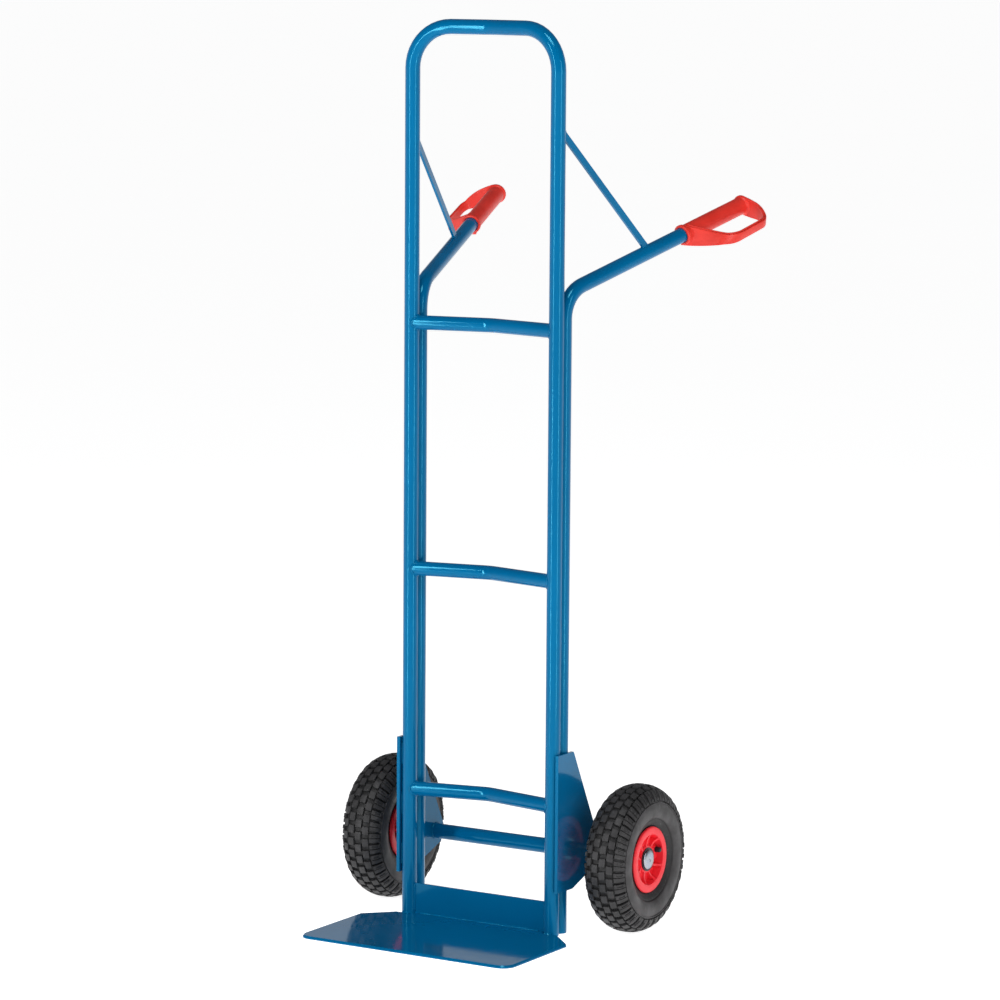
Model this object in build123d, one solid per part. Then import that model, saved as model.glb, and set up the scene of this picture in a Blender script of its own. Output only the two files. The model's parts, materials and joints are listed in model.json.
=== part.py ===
"""Tall hand truck for stacked crates: a welded tube frame on two pneumatic wheels.

+Z is up and the floor is Z = 0.  The load stands on the -Y side and the handles reach
out on the +Y side.  X = 0 is the middle plane.  Left and right are as seen from the
load side, so right is +X.  Y = 0 is the front of the uprights, where the load leans.
Every length is in millimetres.
"""
import os
from math import cos, radians, sin

from build123d import *

# ---- frame tubes
frame_height = 1628.0       # floor to the top of the front loop
upright_spacing = 302.0     # between the two uprights' centre lines
tube_d = 27.0
tube_wall = 2.0
loop_corner_r = 74.0        # centre-line radius of the loop's two top corners
top_bar_setback = 20.0      # how far the middle of the top bar stands back
top_bar_bend_r = 60.0
crossbar_d = 26.0
crossbar_wall = 2.0
crossbar_setback = 30.0     # how far a crossbar's middle stands back
crossbar_bend_r = 60.0
upper_crossbar_z = 1086.0
middle_crossbar_z = 640.0
lower_crossbar_z = 235.0
weld_gap = 0.1              # between welded pieces, filled by the weld

# ---- handles
handle_corner_z = 1150.0    # where the upright and the sloping centre lines cross
handle_splay = 14.2         # degrees outwards, seen from above
handle_rise = 16.7          # degrees above level
handle_length = 476.0       # from that corner to the tube's end
handle_bend_r = 60.0
brace_width = 12.0
brace_thickness = 5.0
brace_top_z = 1440.0        # centre-line height at the upright
brace_outset = 4.0          # its centre line stands this far outboard of the upright's
brace_foot = 223.0          # along the handle from its corner

# ---- grips
grip_start = 311.0          # along the handle from its corner
grip_end = 483.0
grip_wall = 2.5
grip_fit = 0.1              # radial clearance on the tube
collar_d = 37.0
collar_length = 8.0
grip_cap_length = 5.5
guard_reach = 74.0          # outer face of the guard from the tube's centre line
guard_taper = 2.5           # how much less it reaches at the rear
guard_wall = 4.5
guard_root = 43.0           # guard height where it meets the tube
guard_height = 17.5         # guard height along the hand
guard_droop = 20.3          # degrees the guard leans below the handle
guard_front_r = 28.0
guard_rear_r = 15.0
guard_front_lean = 42.0     # along the handle, from the guard's start to its front corner
guard_rear_lean = 14.0
guard_front_spread = 1.4    # how many walls thick the guard's front root is
guard_slope_end = 62.0      # where the root's taper ends
guard_end_inset = 1.0       # its rear face, short of the grip's end

# ---- toe plate
toe_width = 440.0
toe_depth = 250.0           # in front of the uprights
toe_thickness = 5.0
toe_corner_r = 25.0
toe_bevel = 3.0
toe_rear_width = 340.0      # the plate's back edge, across both uprights
tongue_depth = 11.5         # how far the plate runs back between the uprights
heel_plate_height = 60.0
heel_plate_thickness = 4.0

# ---- axle and its brackets
tyre_d = 268.0
axle_y = 125.5
axle_d = 20.0
axle_fit = 0.05             # radial clearance in the brackets and on the caps
bracket_thickness = 6.0
bracket_low = 80.0
bracket_high = 330.0
bracket_eye_wall = 17.0     # round the axle's hole
axle_tube_gap = 0.5         # radial clearance round the axle
axle_tube_wall = 3.5
sleeve_wall = 3.85
loose_fit = 0.15            # radial clearance of sleeves and washers on the axle
washer_lap = 3.4            # beyond the hub's bore
washer_thickness = 1.6
ring_lap = 4.4              # beyond the hub's bore
ring_thickness = 2.0
cap_d = 38.0
cap_dome = 4.6
cap_wall = 1.0
cap_shoulder_r = 11.8       # the dome's outline passes through this radius
cap_shoulder_rise = 3.3     # and this height
cap_vent_r = 1.2
axle_into_cap = 1.8
axle_bevel = 1.0
face_gap = 0.1              # between faces that rest on each other along the axle
play = 0.4                  # end play each side of a turning hub

# ---- wheels
wheel_track = 516.0         # between the tyres' middle planes
tyre_width = 85.0
tyre_cavity_r = 88.0        # radius to the middle of the air space
tyre_cavity_height = 74.0
tyre_cavity_width = 71.0
tyre_mouth_inset = 18.0     # each bead stands this much inside the air space's side
tyre_waist_inset = 3.5      # the side's outline just above the rim, from its widest
tyre_waist_rise = 11.0
tyre_widest_rise = 2.0      # the widest place, above the air space's middle
tyre_shoulder_inset = 6.0
tyre_shoulder_drop = 22.0
tyre_edge_inset = 18.0      # where the tread begins to round over
tyre_edge_drop = 7.0
groove_width = 4.0
groove_depth = 5.0
groove_offset = 14.0
bead_r = 51.0
bead_half_width = 27.6
inner_tube_gap = 0.4
inner_tube_wall = 2.0
rim_flange_r = 60.0
rim_half_width = 33.0
rim_edge_bevel = 2.0
rim_fit = 0.4               # between tyre and rim
barrel_wall = 5.0
rim_web_face = 18.0         # pocket floor, from the wheel's middle plane
rim_web = 4.0
hub_wall = 7.4
hub_out = 25.0              # hub end outboard of the wheel's middle plane
hub_in = 36.0               # hub end inboard of it
rib_count = 10              # evenly round the inner half
rib_pairs = 4               # on the outer half, either side of the valve's boss
rib_axis = 11.0             # degrees above +Y, the line the pairs stand either side of
rib_first = 35.0            # from that line to the first pair
rib_step = 38.5
rib_thickness = 4.0
rib_set_back = 2.0          # ribs stop short of the rim's face
rib_root = 1.0              # how far a rib runs into what it joins
screw_count = 5
screw_circle_r = 35.0
screw_d = 6.0
screw_boss_d = 12.0
screw_depth = 10.0          # into the outer half
screw_tip_gap = 1.0
screw_head_d = 11.0
screw_head_height = 4.0
screw_fit = 0.15
race_wall = 0.9
race_fit = 0.1
roller_d = 5.0
roller_count = 8
roller_length = 44.0
roller_gap = 0.3            # between a roller and what it rolls on
seal_length = 2.5
seal_fit = 0.5
cage_ring = 3.2             # radial thickness of the cage
cage_fit = 0.2              # round a roller in its pocket
cage_end_gap = 0.3
valve_angle = 17.0          # degrees above +Y
valve_r = 38.5              # radius of the stem's outboard run
valve_plane = 9.0           # the stem's radial run, from the middle plane
valve_bend_r = 6.0
valve_d = 6.4
valve_fit = 0.1             # between the stem and its cap
valve_end = 31.0            # stem's tip, from the middle plane
valve_cap_d = 10.0
valve_cap_length = 11.0
valve_cap_wall = 1.5
valve_cap_bevel = 1.0
valve_hole_d = 8.4
valve_boss_width = 20.0
valve_boss_end = 43.5       # radius of the boss's outer end
valve_boss_gap = 0.6        # under the valve's cap

# ---- worked out from the sizes above
upright_x = upright_spacing / 2
tube_r = tube_d / 2
upright_y = tube_r
handle_y = upright_y + tube_d + weld_gap
top_bar_z = frame_height - tube_r
axle_r = axle_d / 2
axle_z = tyre_d / 2
wheel_x = wheel_track / 2
splay = radians(handle_splay)
rise = radians(handle_rise)
handle_corner = Vector(upright_x, handle_y, handle_corner_z)
handle_way = Vector(sin(splay) * cos(rise), cos(splay) * cos(rise), sin(rise))
handle_out = Vector(cos(splay), -sin(splay), 0)
bracket_x = upright_x + tube_r + weld_gap
race_inner_r = axle_r + roller_d + 2 * roller_gap
race_outer_r = race_inner_r + race_wall
hub_bore_r = race_outer_r + race_fit
hub_r = hub_bore_r + hub_wall
hub_length = hub_in + hub_out
axle_tube_r = axle_r + axle_tube_gap
sleeve_bore_r = axle_r + loose_fit
hub_cap_x = wheel_x + hub_out + play + ring_thickness + face_gap


def mirrored(shape):
    return mirror(shape, about=Plane.YZ)


def both_sides(shape):
    return Compound([shape, mirrored(shape)])


def rod(start, end, radius):
    """A round bar between two points."""
    way = end - start
    return extrude(Plane(origin=start, z_dir=way) * Circle(radius), way.length)


def bent_tube(points, radii, outer_d, wall):
    """A tube along straight runs joined by tangent bends."""
    path = FilletPolyline(*points, radius=radii)
    start = Plane(origin=path @ 0, z_dir=path % 0)
    ring = Circle(outer_d / 2) - Circle(outer_d / 2 - wall)
    return sweep(start * ring, path=path)


def along_axle(x, radius, length, bore=0.0):
    """A disc or ring round the axle's line, from x outwards."""
    face = Circle(radius)
    if bore:
        face = face - Circle(bore)
    plane = Plane(origin=(x, axle_y, axle_z), x_dir=(0, 1, 0), z_dir=(1, 0, 0))
    return extrude(plane * face, length)


def spun(face):
    """Turn a section about the right wheel's axis.

    The section is drawn with its X across the wheel from the middle plane and its Y
    as the radius.
    """
    plane = Plane(origin=(wheel_x, axle_y, axle_z), x_dir=(1, 0, 0), z_dir=(0, -1, 0))
    return revolve(plane * face, Axis((0, axle_y, axle_z), (1, 0, 0)), 360)


def at_angle(across, radius, angle):
    """A point on the right wheel: across from its middle plane, out and round."""
    turn = radians(angle)
    return Vector(wheel_x + across, axle_y + radius * cos(turn), axle_z + radius * sin(turn))


# ---- frame

def front_loop():
    points = [
        (-upright_x, upright_y, 0),
        (-upright_x, upright_y, top_bar_z),
        (0, upright_y + top_bar_setback, top_bar_z),
        (upright_x, upright_y, top_bar_z),
        (upright_x, upright_y, 0),
    ]
    radii = [loop_corner_r, top_bar_bend_r, loop_corner_r]
    return bent_tube(points, radii, tube_d, tube_wall)


def upright_envelope():
    """The uprights with the weld's gap round them, to cut the pieces that meet them."""
    low = Vector(upright_x, upright_y, 0)
    high = Vector(upright_x, upright_y, top_bar_z)
    bar = rod(low, high, tube_r + weld_gap)
    return bar + mirrored(bar)


def crossbar(z):
    """A bar between the uprights, bent back in the middle, its ends cut to fit them."""
    points = [
        (-upright_x, upright_y, z),
        (0, upright_y + crossbar_setback, z),
        (upright_x, upright_y, z),
    ]
    bar = bent_tube(points, [crossbar_bend_r], crossbar_d, crossbar_wall)
    fitted = bar - upright_envelope()
    return max(fitted.solids(), key=lambda solid: solid.volume)


def handle_tube():
    points = [
        (upright_x, handle_y, 0),
        handle_corner,
        handle_corner + handle_way * handle_length,
    ]
    return bent_tube(points, [handle_bend_r], tube_d, tube_wall)


def brace():
    """A flat bar from the back of the upright down to the top of the handle."""
    top = Vector(upright_x + brace_outset, upright_y, brace_top_z)
    foot = handle_corner + handle_way * brace_foot
    way = foot - top
    flat = Plane(origin=top, x_dir=handle_out, z_dir=way)
    bar = extrude(flat * Rectangle(brace_thickness, brace_width), way.length)
    handle = rod(handle_corner, handle_corner + handle_way * handle_length, tube_r + weld_gap)
    fitted = bar - upright_envelope() - handle
    return max(fitted.solids(), key=lambda solid: solid.volume)


def toe_plate():
    """The plate the load stands on, with a tongue that runs back between the uprights."""
    half = toe_width / 2
    rear = toe_rear_width / 2
    slope = half - rear
    back = -weld_gap
    side = upright_x - tube_r - weld_gap
    outline = Polyline(
        (-half, -toe_depth),
        (half, -toe_depth),
        (half, back - slope),
        (rear, back),
        (side, back),
        (side, tongue_depth),
        (-side, tongue_depth),
        (-side, back),
        (-rear, back),
        (-half, back - slope),
        close=True,
    )
    plate = extrude(make_face(outline), toe_thickness)
    corners = plate.edges().filter_by(Axis.Z)
    plate = fillet(corners.group_by(Axis.Y)[0], toe_corner_r)
    front_top = plate.edges().group_by(Axis.Z)[-1].filter_by(Axis.X).sort_by(Axis.Y)[0]
    return chamfer(front_top, toe_bevel)


def heel_plate():
    """The upstand behind the tongue, welded between the uprights."""
    width = upright_spacing - tube_d - 2 * weld_gap
    upstand = Box(width, heel_plate_thickness, heel_plate_height)
    return Pos(0, tongue_depth + heel_plate_thickness / 2, heel_plate_height / 2) * upstand


def axle_bracket():
    """The side plate that carries the axle behind the tubes."""
    depth = handle_y + tube_r
    height = bracket_high - bracket_low
    pad = Pos(depth / 2, bracket_low + height / 2) * Rectangle(depth, height)
    eye = Pos(axle_y, axle_z) * Circle(axle_r + bracket_eye_wall)
    face = make_hull(pad.edges() + eye.edges())
    face = face - Pos(axle_y, axle_z) * Circle(axle_r + axle_fit)
    plane = Plane(origin=(bracket_x, 0, 0), x_dir=(0, 1, 0), z_dir=(1, 0, 0))
    return extrude(plane * face, bracket_thickness)


def axle():
    end = hub_cap_x + axle_into_cap
    bar = along_axle(-end, axle_r, 2 * end)
    return chamfer(bar.edges().filter_by(GeomType.CIRCLE), axle_bevel)


def axle_tube():
    length = 2 * (bracket_x - face_gap)
    return along_axle(-length / 2, axle_tube_r + axle_tube_wall, length, axle_tube_r)


def axle_sleeve():
    """Keeps the wheel off the bracket."""
    start = bracket_x + bracket_thickness + face_gap
    end = wheel_x - hub_in - play - washer_thickness - face_gap
    return along_axle(start, sleeve_bore_r + sleeve_wall, end - start, sleeve_bore_r)


def axle_washer():
    start = wheel_x - hub_in - play - washer_thickness
    return along_axle(start, hub_bore_r + washer_lap, washer_thickness, axle_r + loose_fit)


def hub_ring():
    """The plastic ring between the turning hub and the fixed cap."""
    start = wheel_x + hub_out + play
    return along_axle(start, hub_bore_r + ring_lap, ring_thickness, axle_r + loose_fit)


def hub_cap():
    """A domed cap with a small vent, whose spring washer is pushed on the axle's end."""
    rim = cap_d / 2
    washer_low = axle_r + axle_fit
    under_rim = rim - 2 * cap_wall
    shoulder = (cap_shoulder_rise, cap_shoulder_r)
    dome = ThreePointArc((0, rim), shoulder, (cap_dome, cap_vent_r))
    inside = ThreePointArc(
        (cap_dome - cap_wall, cap_vent_r),
        (cap_shoulder_rise - 0.8 * cap_wall, cap_shoulder_r - cap_wall),
        (cap_wall, under_rim),
    )
    rest = Polyline((cap_wall, under_rim), (cap_wall, washer_low), (0, washer_low), (0, rim))
    vent = Line((cap_dome, cap_vent_r), (cap_dome - cap_wall, cap_vent_r))
    face = make_face([dome, vent, inside, rest])
    return spun(Pos(hub_cap_x - wheel_x, 0) * face)


# ---- grips

def grip():
    """The right grip: a sleeve with a collar, a closed end and a guard for the hand."""
    bore = tube_r + grip_fit
    hold = Plane(origin=handle_corner, x_dir=handle_out, z_dir=handle_way)

    def ring(start, length, radius):
        return Pos(0, 0, start) * extrude(Circle(radius), length)

    length = grip_end - grip_start
    sleeve = ring(grip_start, length, bore + grip_wall)
    collar = ring(grip_start, collar_length, collar_d / 2)
    cap = ring(grip_end - grip_cap_length, grip_cap_length, collar_d / 2)
    solid = sleeve + collar + cap + guard()
    solid = solid - ring(0, handle_length + grip_fit, bore)
    return hold * solid


def guard():
    """The hand guard, in the grip's own frame: X outboard, Z along the handle."""
    begin = grip_start + collar_length / 2
    end = grip_end - guard_end_inset
    rear_reach = guard_reach - guard_taper

    def closed_d(inset, spread):
        """A D shape seen square to its plane: X outboard, Y along the handle."""
        front = begin + spread * inset
        rear = end - inset
        corners = [
            (0, front),
            (guard_reach - inset, front + guard_front_lean),
            (rear_reach - inset, rear - guard_rear_lean),
            (0, rear),
        ]
        radii = [guard_front_r - inset, guard_rear_r - inset]
        bow = FilletPolyline(*corners, radius=radii)
        return make_face([bow, Line(corners[3], corners[0])])

    band = closed_d(0, 0) - closed_d(guard_wall, guard_front_spread)
    flat = Plane(origin=(0, 0, 0), x_dir=(1, 0, 0), z_dir=(0, -1, 0))
    slab = extrude(flat * band, guard_root / 2, both=True)
    beyond = guard_reach + guard_wall
    taper = Polyline(
        (0, -guard_root / 2),
        (guard_slope_end, -guard_height / 2),
        (beyond, -guard_height / 2),
        (beyond, guard_height / 2),
        (guard_slope_end, guard_height / 2),
        (0, guard_root / 2),
        close=True,
    )
    wedge = Pos(0, 0, grip_start) * extrude(make_face(taper), grip_end - grip_start)
    return Rot(0, 0, guard_droop) * (slab & wedge)


# ---- right wheel; the left one is its mirror image

def tyre():
    half = tyre_width / 2
    crown = tyre_d / 2
    hook = rim_flange_r + rim_fit
    side = Spline(
        (bead_half_width, hook),
        (half - tyre_waist_inset, hook + tyre_waist_rise),
        (half, tyre_cavity_r + tyre_widest_rise),
        (half - tyre_shoulder_inset, crown - tyre_shoulder_drop),
        (half - tyre_edge_inset, crown - tyre_edge_drop),
        (0, crown),
        tangents=[(1, 0.7), (-1, 0)],
    )
    bead = Polyline(
        (0, crown),
        (0, bead_r),
        (bead_half_width, bead_r),
        (bead_half_width, hook),
    )
    face = make_face([side, bead])
    face = face - Pos(0, tyre_cavity_r) * Ellipse(tyre_cavity_width / 2, tyre_cavity_height / 2)
    mouth = tyre_cavity_width / 2 - tyre_mouth_inset
    face = face - Pos(0, bead_r) * Rectangle(2 * mouth, tyre_cavity_height / 3)
    groove = Rectangle(groove_width, 2 * groove_depth)
    face = face - Pos(groove_offset, crown) * groove
    face = face + mirror(face, about=Plane.YZ)
    return spun(face)


def inner_tube():
    """The air tube, a closed ring that fills the tyre."""
    across = tyre_cavity_width / 2 - inner_tube_gap
    up = tyre_cavity_height / 2 - inner_tube_gap
    wall = inner_tube_wall
    face = Ellipse(across, up) - Ellipse(across - wall, up - wall)
    return spun(Pos(0, tyre_cavity_r) * face)


def rim_section(hub_end):
    """Half a rim: barrel, flange, web and hub, from the wheel's middle plane out."""
    barrel_top = bead_r - rim_fit
    barrel_low = barrel_top - barrel_wall
    flange_in = bead_half_width + rim_fit
    flange = Polyline(
        (0, barrel_low),
        (rim_half_width, barrel_low),
        (rim_half_width, rim_flange_r - rim_edge_bevel),
        (rim_half_width - rim_edge_bevel, rim_flange_r),
        (flange_in + rim_edge_bevel / 2, rim_flange_r),
        (flange_in, rim_flange_r - rim_edge_bevel / 2),
        (flange_in, barrel_top),
        (0, barrel_top),
        close=True,
    )
    web_height = barrel_low + barrel_wall / 2 - hub_bore_r
    web = Rectangle(rim_web, web_height, align=(Align.MAX, Align.MIN))
    hub = Rectangle(hub_end, hub_r - hub_bore_r, align=(Align.MIN, Align.MIN))
    section = make_face(flange)
    section = section + Pos(rim_web_face, hub_bore_r) * web
    return section + Pos(0, hub_bore_r) * hub


def rib(angle, side=1):
    """A rib across the pocket, from the hub to the rim's outer ring."""
    inner = hub_r - rib_root
    outer = bead_r - rim_fit - barrel_wall + rib_root
    floor = rim_web_face - rib_root
    height_in = hub_out - rim_web_face - rib_set_back
    height_out = rim_half_width - rim_web_face - rib_set_back
    outline = Polyline(
        (side * floor, inner),
        (side * (rim_web_face + height_in), inner),
        (side * (rim_web_face + height_out), outer),
        (side * floor, outer),
        close=True,
    )
    plane = Plane(origin=(wheel_x, axle_y, axle_z), x_dir=(1, 0, 0), z_dir=(0, -1, 0))
    blade = extrude(plane * make_face(outline), rib_thickness / 2, both=True)
    return blade.rotate(Axis((0, axle_y, axle_z), (1, 0, 0)), angle - 90)


def valve_boss():
    """The raised block between the hub and the outer ring that the valve stands in."""
    inner = hub_bore_r + hub_wall / 2
    middle = (inner + valve_boss_end) / 2
    low = rim_web_face - rib_root
    high = valve_end + valve_cap_wall + valve_fit - valve_cap_length - valve_boss_gap
    size = Box(high - low, valve_boss_width, valve_boss_end - inner)
    block = Pos(wheel_x + (low + high) / 2, axle_y, axle_z + middle) * size
    return block.rotate(Axis((0, axle_y, axle_z), (1, 0, 0)), valve_angle - 90)


def screw_angles():
    step = 360 / screw_count
    return [valve_angle + step * (turn + 0.5) for turn in range(screw_count)]


def outer_rim():
    rim = spun(rim_section(hub_out)) + valve_boss()
    for turn in range(rib_pairs):
        spread = rib_first + rib_step * turn
        rim += rib(rib_axis + spread)
        rim += rib(rib_axis - spread)
    for angle in screw_angles():
        seat = at_angle(0, screw_circle_r, angle)
        web = at_angle(rim_web_face - rim_web, screw_circle_r, angle)
        bottom = at_angle(screw_depth + screw_tip_gap, screw_circle_r, angle)
        rim += rod(seat, web, screw_boss_d / 2)
        rim -= rod(seat, bottom, screw_d / 2 + screw_fit)
    stem_in = at_angle(valve_plane, valve_r, valve_angle)
    rim -= rod(stem_in, at_angle(valve_plane, bead_r, valve_angle), valve_hole_d / 2)
    rim -= rod(stem_in, at_angle(rim_half_width, valve_r, valve_angle), valve_hole_d / 2)
    return rim


def inner_rim():
    """The half towards the truck, with the screws' heads sunk in its face."""
    section = mirror(rim_section(hub_in), about=Plane.YZ)
    rim = spun(section)
    step = 360 / rib_count
    for turn in range(rib_count):
        rim += rib(valve_angle + step * (turn + 0.5), side=-1)
    for angle in screw_angles():
        seat = at_angle(0, screw_circle_r, angle)
        web = at_angle(rim_web - rim_web_face, screw_circle_r, angle)
        back = at_angle(-rim_web_face, screw_circle_r, angle)
        rim += rod(seat, web, screw_boss_d / 2)
        rim -= rod(seat, back, screw_d / 2 + screw_fit)
    return rim


def rim_screws():
    """Hexagon-headed screws, put in from the truck's side."""
    screws = []
    for angle in screw_angles():
        back = at_angle(-rim_web_face, screw_circle_r, angle)
        tip = at_angle(screw_depth, screw_circle_r, angle)
        head = Plane(origin=back, z_dir=(-1, 0, 0)) * RegularPolygon(screw_head_d / 2, 6)
        screws.append(rod(back, tip, screw_d / 2) + extrude(head, screw_head_height))
    return Compound(screws)


def bearing_race():
    """The steel tube in the hub that the rollers run in."""
    start = wheel_x - hub_in + seal_length
    return along_axle(start, race_outer_r, hub_length - 2 * seal_length, race_inner_r)


def hub_seals():
    """A ring at each end of the hub keeps the rollers in."""
    inboard = wheel_x - hub_in
    outboard = wheel_x + hub_out - seal_length
    rings = []
    for start in (inboard, outboard):
        rings.append(along_axle(start, race_outer_r, seal_length, axle_r + seal_fit))
    return Compound(rings)


def roller_places():
    pitch = axle_r + roller_gap + roller_d / 2
    middle = (hub_out - hub_in) / 2
    places = []
    for turn in range(roller_count):
        angle = 360 / roller_count * turn
        places.append([at_angle(middle + end * roller_length / 2, pitch, angle) for end in (-1, 1)])
    return places


def rollers():
    return Compound([rod(start, end, roller_d / 2) for start, end in roller_places()])


def roller_cage():
    """A plastic ring that keeps the rollers apart."""
    middle = wheel_x + (hub_out - hub_in) / 2
    length = hub_length - 2 * seal_length - 2 * play
    mean = axle_r + roller_gap + roller_d / 2
    cage = along_axle(middle - length / 2, mean + cage_ring / 2, length, mean - cage_ring / 2)
    for start, end in roller_places():
        way = Vector(cage_end_gap, 0, 0)
        cage -= rod(start - way, end + way, roller_d / 2 + cage_fit)
    return cage


def valve_stem():
    """The inner tube's stem: in through the barrel, then out through the web."""
    base = tyre_cavity_r - tyre_cavity_height / 2 + inner_tube_gap
    points = [
        at_angle(valve_plane, base, valve_angle),
        at_angle(valve_plane, valve_r, valve_angle),
        at_angle(valve_end, valve_r, valve_angle),
    ]
    path = FilletPolyline(*points, radius=valve_bend_r)
    return sweep(Plane(origin=path @ 0, z_dir=path % 0) * Circle(valve_d / 2), path=path)


def valve_cap():
    tip = at_angle(valve_end + valve_cap_wall + valve_fit, valve_r, valve_angle)
    mouth = tip - Vector(valve_cap_length, 0, 0)
    cap = rod(mouth, tip, valve_cap_d / 2)
    cap = chamfer(cap.faces().sort_by(Axis.X)[-1].edges(), valve_cap_bevel)
    inside = tip - Vector(valve_cap_wall, 0, 0)
    return cap - rod(mouth, inside, valve_d / 2 + valve_fit)


ONE_PER_TRUCK = {
    "front_loop": front_loop(),
    "upper_crossbar": crossbar(upper_crossbar_z),
    "middle_crossbar": crossbar(middle_crossbar_z),
    "lower_crossbar": crossbar(lower_crossbar_z),
    "toe_plate": toe_plate(),
    "heel_plate": heel_plate(),
    "axle": axle(),
    "axle_tube": axle_tube(),
    "axle_sleeves": both_sides(axle_sleeve()),
    "axle_washers": both_sides(axle_washer()),
    "hub_rings": both_sides(hub_ring()),
}
ONE_PER_SIDE = {
    "handle_tube": handle_tube(),
    "brace": brace(),
    "axle_bracket": axle_bracket(),
    "grip": grip(),
    "hub_cap": hub_cap(),
    "tyre": tyre(),
    "inner_tube": inner_tube(),
    "outer_rim": outer_rim(),
    "inner_rim": inner_rim(),
    "rim_screws": rim_screws(),
    "bearing_race": bearing_race(),
    "hub_seals": hub_seals(),
    "rollers": rollers(),
    "roller_cage": roller_cage(),
    "valve_stem": valve_stem(),
    "valve_cap": valve_cap(),
}

os.makedirs("parts", exist_ok=True)
for name, shape in ONE_PER_TRUCK.items():
    export_step(shape, f"parts/{name}.step")
for name, shape in ONE_PER_SIDE.items():
    export_step(shape, f"parts/right_{name}.step")
    export_step(mirrored(shape), f"parts/left_{name}.step")
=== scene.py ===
"""The hand truck's finish: pieces modelled in full, their materials, the studio and the camera.

Lengths are in metres unless a name ends in _MM.  +Z is up, the load side is -Y, the handles
reach out to +Y, and the right side is +X.  A piece for the left side is the right one mirrored.
"""
import json
from math import asin, cos, hypot, pi, radians, sin, sqrt, tan

import bmesh
import bpy
from mathutils import Matrix, Vector


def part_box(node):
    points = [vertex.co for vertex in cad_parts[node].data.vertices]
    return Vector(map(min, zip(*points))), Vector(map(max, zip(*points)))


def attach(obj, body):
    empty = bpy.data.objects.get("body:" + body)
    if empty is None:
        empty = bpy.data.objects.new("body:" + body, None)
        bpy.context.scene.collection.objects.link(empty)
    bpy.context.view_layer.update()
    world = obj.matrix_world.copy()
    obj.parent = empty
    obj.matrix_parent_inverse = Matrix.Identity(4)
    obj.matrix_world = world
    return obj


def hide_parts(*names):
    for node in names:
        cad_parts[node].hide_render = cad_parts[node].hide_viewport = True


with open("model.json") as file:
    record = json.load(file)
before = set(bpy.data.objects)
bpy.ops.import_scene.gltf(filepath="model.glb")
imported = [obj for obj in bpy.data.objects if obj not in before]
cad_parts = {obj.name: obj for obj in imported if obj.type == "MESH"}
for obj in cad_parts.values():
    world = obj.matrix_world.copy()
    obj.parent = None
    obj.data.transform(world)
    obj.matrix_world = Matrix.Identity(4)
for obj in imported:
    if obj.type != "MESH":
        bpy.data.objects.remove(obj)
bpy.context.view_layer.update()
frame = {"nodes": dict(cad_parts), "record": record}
nodes = frame["nodes"]

MM = 0.001
SIDES = {"right": 1, "left": -1}

# ---- places and sizes read from the frame
loop_low, loop_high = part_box("front_loop")
tyre_low, tyre_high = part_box("right_tyre")
handle_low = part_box("right_handle_tube")[0]
cap_low, cap_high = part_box("right_hub_cap")
valve_low, valve_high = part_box("right_valve_cap")
plate_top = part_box("toe_plate")[1].z
heel_low, heel_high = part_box("heel_plate")
bracket_low, bracket_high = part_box("right_axle_bracket")
axle_tube_low, axle_tube_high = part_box("axle_tube")

TUBE_R = (loop_high.x - handle_low.x) / 2
upright_x = loop_high.x - TUBE_R
upright_y = loop_low.y + TUBE_R
handle_y = handle_low.y + TUBE_R
wheel_middle = (tyre_low + tyre_high) / 2
UP = Vector((0, 0, 1))

# ---- the handle's slope
HANDLE_CORNER_Z = 1.150
HANDLE_SPLAY = radians(14.2)
HANDLE_RISE = radians(16.7)
handle_corner = Vector((upright_x, handle_y, HANDLE_CORNER_Z))
handle_way = Vector((
    sin(HANDLE_SPLAY) * cos(HANDLE_RISE),
    cos(HANDLE_SPLAY) * cos(HANDLE_RISE),
    sin(HANDLE_RISE),
))
handle_out = Vector((cos(HANDLE_SPLAY), -sin(HANDLE_SPLAY), 0))
handle_up = handle_out.cross(handle_way)


# ---- mesh helpers

class Shell:
    """Points and faces gathered before they become one mesh."""

    def __init__(self):
        self.points = []
        self.faces = []

    def rows(self, rows, ring=True, loop=False):
        """Quads between neighbouring rows.  ring closes each row, loop joins last to first."""
        start = len(self.points)
        width = len(rows[0])
        for row in rows:
            self.points.extend(row)
        last = len(rows) if loop else len(rows) - 1
        for j in range(last):
            here = start + j * width
            there = start + (j + 1) % len(rows) * width
            for i in range(width if ring else width - 1):
                k = (i + 1) % width
                self.faces.append((here + i, here + k, there + k, there + i))
        return start

    def cap(self, row, flip=False):
        """One flat face over a ring of points."""
        start = len(self.points)
        self.points.extend(row)
        face = list(range(start, start + len(row)))
        self.faces.append(face[::-1] if flip else face)

    def add(self, other):
        """Take in the points and faces of another shell."""
        start = len(self.points)
        self.points.extend(other.points)
        for face in other.faces:
            self.faces.append([start + k for k in face])


def joined(shells):
    whole = Shell()
    for shell in shells:
        whole.add(shell)
    return whole


def make_mesh(name, shell, flip=False):
    mesh = bpy.data.meshes.new(name)
    faces = [list(face)[::-1] for face in shell.faces] if flip else shell.faces
    mesh.from_pydata([tuple(p) for p in shell.points], [], faces)
    mesh.validate()
    return mesh


def weld_doubles(mesh, distance):
    """Join points that lie on each other, so that the shell is one closed surface."""
    work = bmesh.new()
    work.from_mesh(mesh)
    bmesh.ops.remove_doubles(work, verts=work.verts, dist=distance)
    bmesh.ops.recalc_face_normals(work, faces=work.faces)
    work.to_mesh(mesh)
    work.free()


def dress(mesh, slot, crease):
    """Smooth shading with edges sharper than crease degrees kept, and the slot's finish."""
    mesh.materials.clear()
    mesh.materials.append(FINISH[slot])
    mesh.polygons.foreach_set("use_smooth", [True] * len(mesh.polygons))
    mesh.set_sharp_from_angle(angle=radians(crease))


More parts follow.
